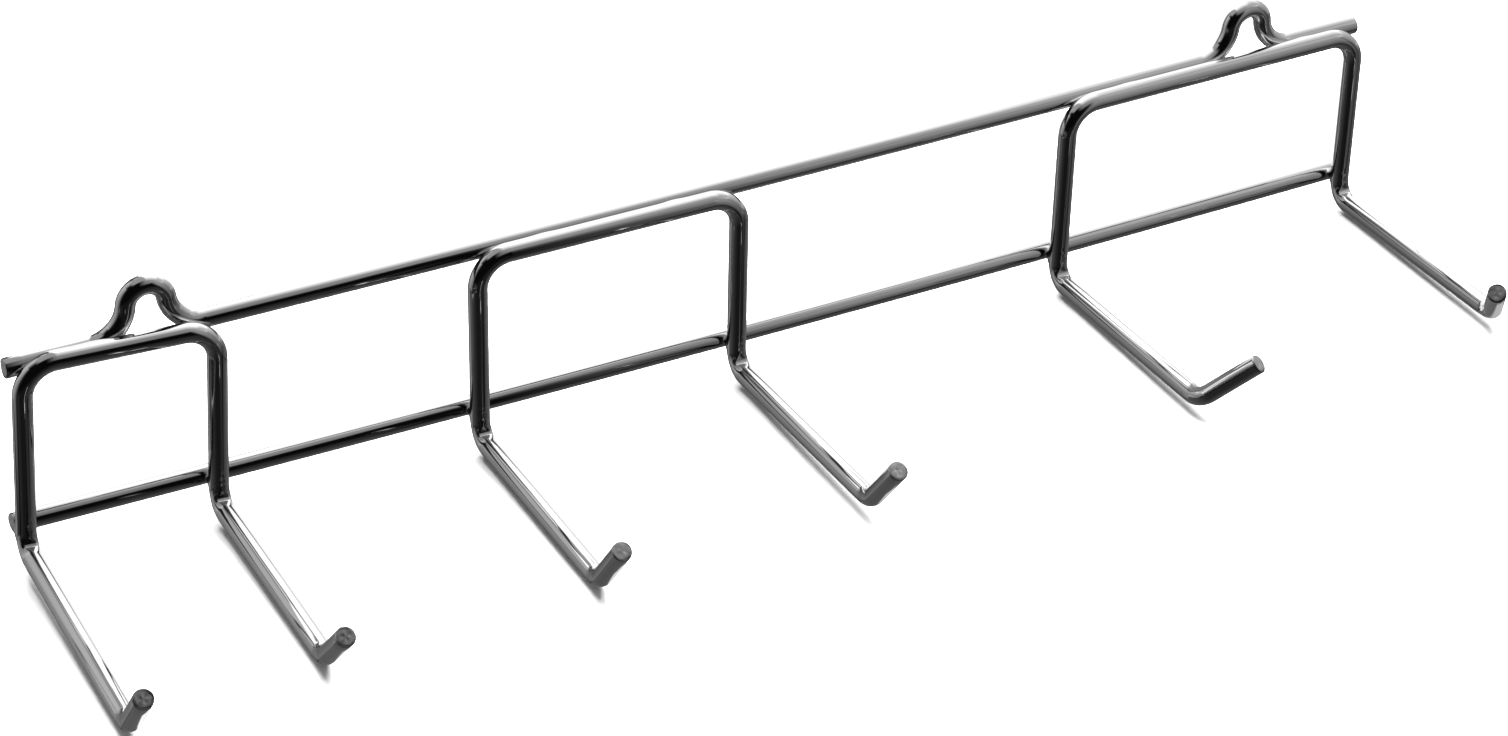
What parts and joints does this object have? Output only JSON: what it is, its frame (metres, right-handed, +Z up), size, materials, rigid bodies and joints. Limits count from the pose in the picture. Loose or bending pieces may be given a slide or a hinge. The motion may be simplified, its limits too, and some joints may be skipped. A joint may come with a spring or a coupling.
{
  "type": "wall hook rack",
  "caption": "Bright wire rack for a wall: double hooks of growing width welded to an upper and a lower rail, hung from eyes bent into the upper rail.",
  "frame": {"origin": "on the wall plane, midway between the centres of the two hanging eyes", "axes": "+X along the rails towards the widest hook, +Y into the wall, +Z up; the hooks reach towards -Y"},
  "size_m": [0.4003, 0.0963, 0.0728],
  "materials": {
    "chrome_wire": "bright chrome plate on drawn steel wire"
  },
  "bodies": {
    "root": {"top_rail": "chrome_wire", "bottom_rail": "chrome_wire", "small_hook": "chrome_wire", "medium_hook": "chrome_wire", "large_hook": "chrome_wire"}
  },
  "joints": []
}
